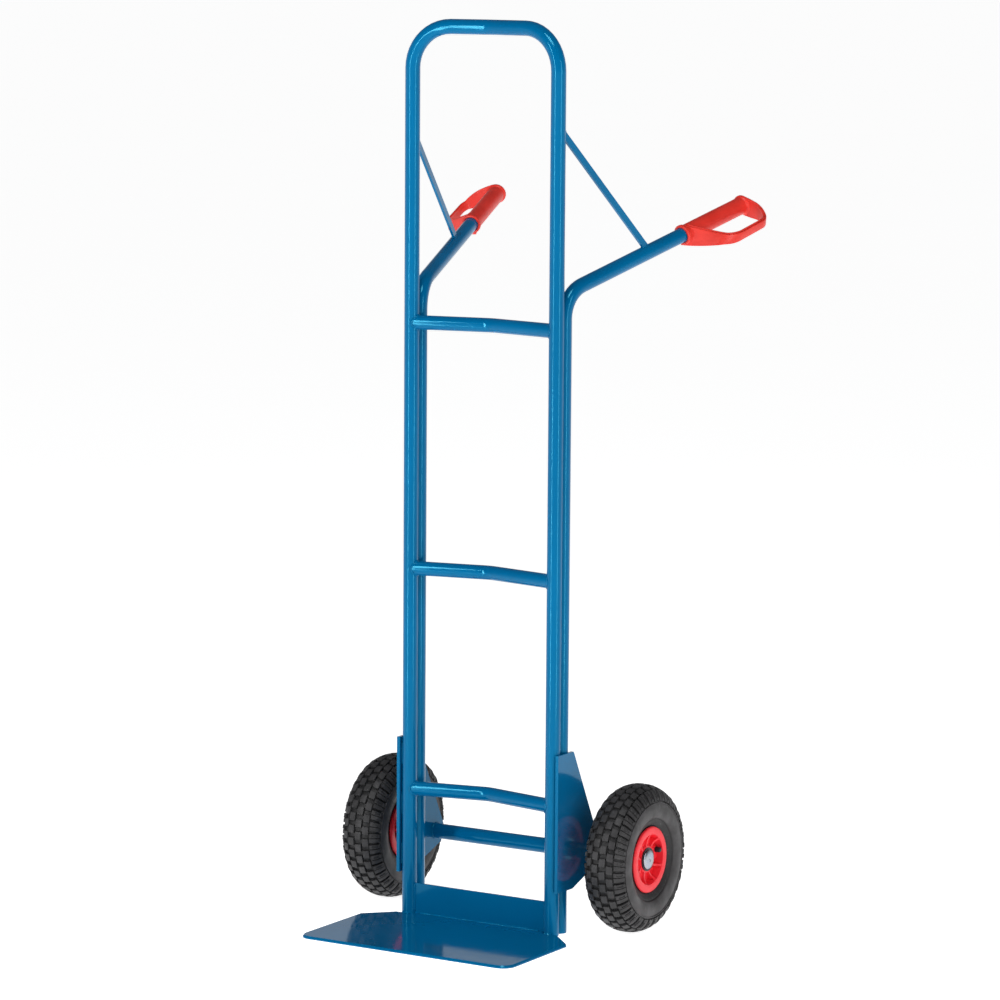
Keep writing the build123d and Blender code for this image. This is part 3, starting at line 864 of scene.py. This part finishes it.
def rounded_path(corners, radii, straight, bend):
    """Points along straight runs joined by arcs, each with its inward direction."""
    legs = []
    for k in range(1, len(corners) - 1):
        before = (corners[k - 1] - corners[k]).normalized()
        after = (corners[k + 1] - corners[k]).normalized()
        half = before.angle(after) / 2
        reach = radii[k - 1] / tan(half)
        middle = corners[k] + (before + after).normalized() * (radii[k - 1] / sin(half))
        legs.append((corners[k] + before * reach, corners[k] + after * reach, middle))
    points = []
    start = corners[0]
    for first, last, middle in legs:
        points += [start.lerp(first, j / straight) for j in range(straight)]
        a, b = first - middle, last - middle
        turn = a.angle(b)
        for j in range(bend):
            t = j / bend
            from_a, from_b = sin((1 - t) * turn) / sin(turn), sin(t * turn) / sin(turn)
            points.append(middle + a * from_a + b * from_b)
        start = last
    points += [start.lerp(corners[-1], j / straight) for j in range(straight + 1)]
    ways = []
    for k in range(len(points)):
        tangent = (points[min(k + 1, len(points) - 1)] - points[max(k - 1, 0)]).normalized()
        ways.append(Vector((tangent.y, -tangent.x)))
    return points, ways


def guard_lines():
    """The guard's outer edge above and below, in (out, along), with inward directions."""
    lines = ([Vector(corner) for corner in corners] for corners in (GUARD_TOP, GUARD_LOW))
    return [rounded_path(line, GUARD_BENDS, straight=8, bend=14) for line in lines]


def guard_heights(tapers, out):
    """How far the guard reaches above and below its middle plane."""
    share = min(1.0, max(0.0, out / GUARD_TAPER))
    return [half + more * (1 - share ** power) for half, (more, power) in zip(GUARD_HALF, tapers)]


# the guard's sections: inward offset, 1 at the top edge or 0 at the bottom, and a lift
GUARD_SECTION = [
    (0.0014, 0, 0.0009), (0.0010, 0, 0.0022), (0.0010, 1, -0.0046), (0.0014, 1, -0.0032),
    (0.0052, 1, -0.0022), (0.0058, 1, -0.0032), (0.0056, 0, 0.0016), (0.0048, 0, 0.0004),
]
FLANGE_SECTION = [
    (0.0024, 0, 0.0006), (0.0012, 0, 0.0), (0.0004, 0, 0.0004), (0.0, 0, 0.0014), (0.0, 1, -0.0026),
    (0.0004, 1, -0.0017), (0.0012, 1, -0.0013), (0.0020, 1, -0.0016), (0.0023, 1, -0.0024),
    (0.0023, 1, -0.0050),
]
LIP_SECTION = [
    (0.0031, 1, -0.0050), (0.0031, 1, -0.0006), (0.0035, 1, 0.0), (0.0046, 1, 0.0003),
    (0.0058, 1, 0.0), (0.0063, 1, -0.0007), (0.0063, 1, -0.0030), (0.0057, 1, -0.0060),
]


def guard_shell(section):
    """Sweep one section along the guard, from the collar round to the end cap."""
    (top, top_in), (low, low_in) = guard_lines()
    rows = []
    count = len(top)
    for k in range(count):
        above, below = guard_heights(GUARD_FRONT if k < count / 2 else GUARD_BACK, top[k].x)
        row = []
        for inset, level, lift in section:
            way = top_in[k] if level else low_in[k]
            spot = low[k].lerp(top[k], level) - way * inset
            row.append(on_handle(spot.y, spot.x, (above if level else -below) + lift))
        rows.append(row)
    shell = Shell()
    shell.rows(rows)
    shell.cap(rows[0], flip=True)
    shell.cap(rows[-1])
    return shell


def sleeve_shell():
    """The sleeve with its collar, open mouth and closed end, turned about the handle."""
    start, end = GRIP_START, GRIP_END
    outline = [
        (end - 0.0067, 0.0), (end - 0.0067, GRIP_BORE_R), (start + 0.0008, GRIP_BORE_R),
        (start + 0.0001, GRIP_BORE_R + 0.0006), (start, COLLAR_R - 0.0015),
        (start + 0.0007, COLLAR_R - 0.0004), (start + 0.0020, COLLAR_R),
        (start + 0.0066, COLLAR_R), (start + 0.0082, COLLAR_R - 0.0008),
        (start + 0.0093, SLEEVE_R + 0.0005), (start + 0.0110, SLEEVE_R),
        (end - 0.0095, SLEEVE_R), (end - 0.0082, SLEEVE_R + 0.0005),
        (end - 0.0074, COLLAR_R - 0.0007), (end - 0.0062, COLLAR_R), (end - 0.0018, COLLAR_R),
        (end - 0.0004, COLLAR_R - 0.0009), (end, COLLAR_R - 0.0023), (end, 0.0),
    ]
    rows = []
    for along, radius in outline:
        rows.append(circle(handle_corner + handle_way * along, handle_out, handle_up, radius, 72))
    shell = Shell()
    shell.rows(rows)
    return shell


def fused(name, shells, voxel):
    """Join closed shells into one skin with softened joins."""
    mesh = make_mesh(name + "_rough", joined(shells))
    weld_doubles(mesh, 1e-6)
    obj = bpy.data.objects.new(name + "_rough", mesh)
    bpy.context.scene.collection.objects.link(obj)
    remesh = obj.modifiers.new("skin", "REMESH")
    remesh.mode = "VOXEL"
    remesh.voxel_size = voxel
    soften = obj.modifiers.new("soften", "SMOOTH")
    soften.factor = 0.5
    soften.iterations = 5
    bpy.context.view_layer.update()
    seen = obj.evaluated_get(bpy.context.evaluated_depsgraph_get())
    ready = bpy.data.meshes.new_from_object(seen)
    bpy.data.objects.remove(obj)
    skin = Shell()
    skin.points = [v.co.copy() for v in ready.vertices]
    skin.faces = [list(p.vertices) for p in ready.polygons]
    return skin


def make_grips():
    """The sleeve and the guard in one skin, with the flange and the lip over the guard's edge."""
    skin = fused("grip", [sleeve_shell(), guard_shell(GUARD_SECTION)], GUARD_VOXEL)
    skin.add(guard_shell(FLANGE_SECTION))
    skin.add(guard_shell(LIP_SECTION))
    make_pair("grip", "moulded", skin, "frame", "grip_plastic", crease=50, join=1e-8)


# ---- welds

BEAD_STEP = 0.0006          # between a bead's rings


def meet(point, way, origin, axis, radius):
    """Where a line from point along way first meets a round tube."""
    gap = point - origin
    gap -= axis * gap.dot(axis)
    across = way - axis * way.dot(axis)
    a = across.dot(across)
    b = 2 * gap.dot(across)
    c = gap.dot(gap) - radius * radius
    inside = max(0.0, b * b - 4 * a * c)
    return point + way * ((-b - sqrt(inside)) / (2 * a))


def bead(path, closed, size, ripple=0.0016):
    """A weld bead: a rope of radius size along a path, with the ripples of the weld pool."""
    total = path + [path[0]] if closed else path
    fine = []
    for a, b in zip(total, total[1:]):
        steps = max(1, int((b - a).length / BEAD_STEP))
        fine += [a.lerp(b, j / steps) for j in range(steps)]
    if not closed:
        fine.append(path[-1])
    rows = []
    run = 0.0
    count = len(fine)
    for k, spot in enumerate(fine):
        if closed:
            tangent = fine[(k + 1) % count] - fine[k - 1]
        else:
            tangent = fine[min(k + 1, count - 1)] - fine[max(k - 1, 0)]
        tangent.normalize()
        if k == 0:
            side = tangent.orthogonal().normalized()
        else:
            side = (side - tangent * side.dot(tangent)).normalized()
            run += (spot - fine[k - 1]).length
        swell = 1 + 0.10 * abs(sin(pi * run / ripple)) + 0.05 * sin(run * 900)
        if not closed:
            swell *= max(0.15, min(1.0, min(k, count - 1 - k) / 4))
        rows.append(circle(spot, side, tangent.cross(side), size * swell, 8))
    shell = Shell()
    shell.rows(rows, loop=closed)
    if not closed:
        shell.cap(rows[0], flip=True)
        shell.cap(rows[-1])
    return shell


def weld_piece(name, shell):
    mesh = make_mesh(name, shell)
    weld_doubles(mesh, 1e-8)
    piece(name, mesh, "frame", "frame_paint", crease=70)


def weld_pair(kind, beads):
    """A piece on each side, from the right side's beads."""
    for side in SIDES:
        weld_piece(f"{side}_{kind}", for_side(joined(beads), side))


def crossbar_welds():
    """Round both ends of each crossbar, where it meets the uprights."""
    for label in ("upper", "middle", "lower"):
        low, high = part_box(f"{label}_crossbar")
        radius = (high.z - low.z) / 2
        z = (high.z + low.z) / 2
        setback = high.y - low.y - 2 * radius + 0.0035
        beads = []
        for sign in (1, -1):
            origin = Vector((sign * upright_x, upright_y, z))
            inward = Vector((-sign * upright_x, setback, 0)).normalized()
            ring = circle(origin + inward * 0.05, inward.cross(UP), UP, radius + 0.0002, 28)
            path = [meet(p, -inward, origin, UP, TUBE_R + 0.0004) for p in ring]
            beads.append(bead(path, closed=True, size=0.0017))
        weld_piece(f"{label}_crossbar_welds", joined(beads))


BRACE_TOP_Z = 1.440
BRACE_OUTSET = 0.004
BRACE_FOOT = 0.223
BRACE_HALF = (0.0025, 0.006)


def brace_welds():
    """Round both ends of each brace, at the upright and at the handle."""
    top = Vector((upright_x + BRACE_OUTSET, upright_y, BRACE_TOP_Z))
    foot = handle_corner + handle_way * BRACE_FOOT
    way = (foot - top).normalized()
    out = (handle_out - way * handle_out.dot(way)).normalized()
    deep = way.cross(out)
    middle = top.lerp(foot, 0.5)
    a, b = BRACE_HALF
    corners = [(a, b), (-a, b), (-a, -b), (a, -b)]
    outline = []
    for start, end in zip(corners, corners[1:] + corners[:1]):
        for j in range(5):
            across = between(start[0], end[0], j / 5)
            up = between(start[1], end[1], j / 5)
            outline.append(middle + out * across + deep * up)
    beads = []
    upright = Vector((upright_x, upright_y, 0))
    for toward, origin, axis in ((-way, upright, UP), (way, handle_corner, handle_way)):
        path = [meet(p, toward, origin, axis, TUBE_R + 0.0003) for p in outline]
        beads.append(bead(path, closed=True, size=0.0013))
    weld_pair("brace_welds", beads)


TUBE_WELDS_Z = (0.045, 0.345, 0.520, 0.760, 0.930, 1.060)
TUBE_WELD_LENGTH = 0.038


def tube_welds():
    """Short runs in the grooves between each upright and the handle tube behind it."""
    y = (upright_y + handle_y) / 2
    beads = []
    for z in TUBE_WELDS_Z:
        for side in (1, -1):
            x = upright_x + side * 0.0058
            path = [Vector((x, y, z)), Vector((x, y, z + TUBE_WELD_LENGTH))]
            beads.append(bead(path, closed=False, size=0.0021, ripple=0.0022))
    weld_pair("tube_welds", beads)


def foot_welds():
    """At the foot of each upright: to the toe plate, the heel plate and the bracket."""
    ring = circle(Vector((upright_x, upright_y, 0)), Vector((1, 0, 0)), Vector((0, 1, 0)), TUBE_R, 28)
    across = sorted(p.x for p in ring if p.y < 0.004)
    path = [Vector((x, -0.0002, plate_top)) for x in across]
    beads = [bead(path, closed=False, size=0.0020)]
    x = heel_high.x + 0.0001
    for y in (heel_low.y - 0.0004, heel_high.y + 0.0004):
        path = [Vector((x, y, plate_top + 0.003)), Vector((x, y, heel_high.z - 0.002))]
        beads.append(bead(path, closed=False, size=0.0017))
    x = bracket_low.x - 0.0002
    bracket_middle = (bracket_low.z + bracket_high.z) / 2
    for z in (bracket_low.z + 0.012, bracket_high.z - 0.052, bracket_middle - 0.02):
        for y in (upright_y - 0.0050, handle_y + 0.0050):
            path = [Vector((x, y, z)), Vector((x, y, z + 0.040))]
            beads.append(bead(path, closed=False, size=0.0019))
    weld_pair("foot_welds", beads)


def heel_plate_weld():
    """Along the load side of the heel plate's lower edge."""
    y, z = heel_low.y - 0.0002, plate_top + 0.0002
    path = [Vector((heel_low.x + 0.01, y, z)), Vector((heel_high.x - 0.01, y, z))]
    weld_piece("heel_plate_weld", bead(path, closed=False, size=0.0021))


def axle_tube_welds():
    """Round both ends of the axle tube, at the brackets."""
    radius = (axle_tube_high.z - axle_tube_low.z) / 2
    beads = []
    for sign in (1, -1):
        end = Vector((sign * bracket_low.x, wheel_middle.y, wheel_middle.z))
        centre = end - Vector((sign * 0.0004, 0, 0))
        ring = circle(centre, Vector((0, 1, 0)), UP, radius + 0.0002, 40)
        beads.append(bead(ring, closed=True, size=0.0018))
    weld_piece("axle_tube_welds", joined(beads))


# ---- studio and camera

def make_floor():
    """A wide floor, near white and faintly uneven."""
    size = 250.0
    corners = [(-size, -size, 0), (size, -size, 0), (size, size, 0), (-size, size, 0)]
    mesh = bpy.data.meshes.new("floor")
    mesh.from_pydata(corners, [], [(0, 1, 2, 3)])
    floor = bpy.data.objects.new("floor", mesh)
    bpy.context.scene.collection.objects.link(floor)
    look = Look("floor_white", specular=0.0)
    shade = look.ramp(look.noise(0.8, 2), 0.3, 0.7, (0.0, 1.0))
    look.colour(look.blend(shade, (0.90, 0.90, 0.90), (0.92, 0.92, 0.92)))
    look.shader.inputs["Roughness"].default_value = 0.9
    look.shader.inputs["Emission Color"].default_value = (1, 1, 1, 1)
    look.shader.inputs["Emission Strength"].default_value = 0.88
    mesh.materials.append(look.material)


def softbox(name, place, target, width, height, power):
    """A rectangular lamp at a place, facing its target."""
    data = bpy.data.lights.new(name, "AREA")
    data.shape = "RECTANGLE"
    data.size = width
    data.size_y = height
    data.energy = power
    lamp = bpy.data.objects.new(name, data)
    bpy.context.scene.collection.objects.link(lamp)
    lamp.location = place
    lamp.rotation_euler = (Vector(target) - Vector(place)).to_track_quat("-Z", "Y").to_euler()


def make_world():
    """White low down behind the object, dimmer overhead and behind the camera."""
    world = bpy.data.worlds.new("studio")
    bpy.context.scene.world = world
    world.use_nodes = True
    tree = world.node_tree
    back = tree.nodes["Background"]
    place = tree.nodes.new("ShaderNodeTexCoord").outputs["Generated"]
    parts = tree.nodes.new("ShaderNodeSeparateXYZ")
    tree.links.new(place, parts.inputs["Vector"])
    fade = map_range(tree, parts.outputs["Z"], 0.04, 0.40, (0.95, 0.12))
    ahead = tree.nodes.new("ShaderNodeVectorMath")
    ahead.operation = "DOT_PRODUCT"
    ahead.inputs[1].default_value = (-sin(CAMERA_TURN), cos(CAMERA_TURN), 0)
    tree.links.new(place, ahead.inputs[0])
    dim = map_range(tree, ahead.outputs["Value"], -0.4, 0.8, (0.35, 1.0))
    product = tree.nodes.new("ShaderNodeMath")
    product.operation = "MULTIPLY"
    tree.links.new(fade, product.inputs[0])
    tree.links.new(dim, product.inputs[1])
    tree.links.new(product.outputs["Value"], back.inputs["Strength"])
    back.inputs["Color"].default_value = (0.98, 0.99, 1.0, 1)


def make_lights():
    softbox("overhead", (0.9, -1.7, 4.2), (0, 0.1, 0.6), 1.3, 1.3, 62)
    softbox("key_left", (-0.6, -2.0, 1.1), (0, 0.05, 1.0), 0.20, 2.3, 28)
    softbox("fill_right", (2.2, -0.5, 1.1), (0, 0.05, 1.0), 0.34, 2.4, 21)


CAMERA_PLACE = (3.9985, -6.4779, 1.8105)
CAMERA_TURN = radians(31.394)       # from looking along +Y, to the left
CAMERA_DIP = radians(7.731)
CAMERA_ROLL = radians(0.397)
CAMERA_LENS_MM = 155.1
SENSOR_MM = 36.0


def make_camera():
    """The camera of the main view, from the front and the right side."""
    data = bpy.data.cameras.new("camera")
    data.lens = CAMERA_LENS_MM
    data.sensor_width = SENSOR_MM
    data.clip_end = 600
    camera = bpy.data.objects.new("camera", data)
    bpy.context.scene.collection.objects.link(camera)
    ahead = Vector((
        -sin(CAMERA_TURN) * cos(CAMERA_DIP),
        cos(CAMERA_TURN) * cos(CAMERA_DIP),
        -sin(CAMERA_DIP),
    ))
    level = Vector((cos(CAMERA_TURN), sin(CAMERA_TURN), 0))
    upright = level.cross(ahead)
    right = level * cos(CAMERA_ROLL) + upright * sin(CAMERA_ROLL)
    up = upright * cos(CAMERA_ROLL) - level * sin(CAMERA_ROLL)
    turn = Matrix((right, up, -ahead)).transposed()
    camera.matrix_world = Matrix.Translation(CAMERA_PLACE) @ turn.to_4x4()
    bpy.context.scene.camera = camera


finish_cad_nodes()
round_plate_edges()
make_tyres()
make_rims()
make_hub_caps()
make_valve_caps()
make_grips()
crossbar_welds()
brace_welds()
tube_welds()
foot_welds()
heel_plate_weld()
axle_tube_welds()
make_floor()
make_world()
make_lights()
make_camera()
bpy.context.scene.view_settings.view_transform = "Standard"
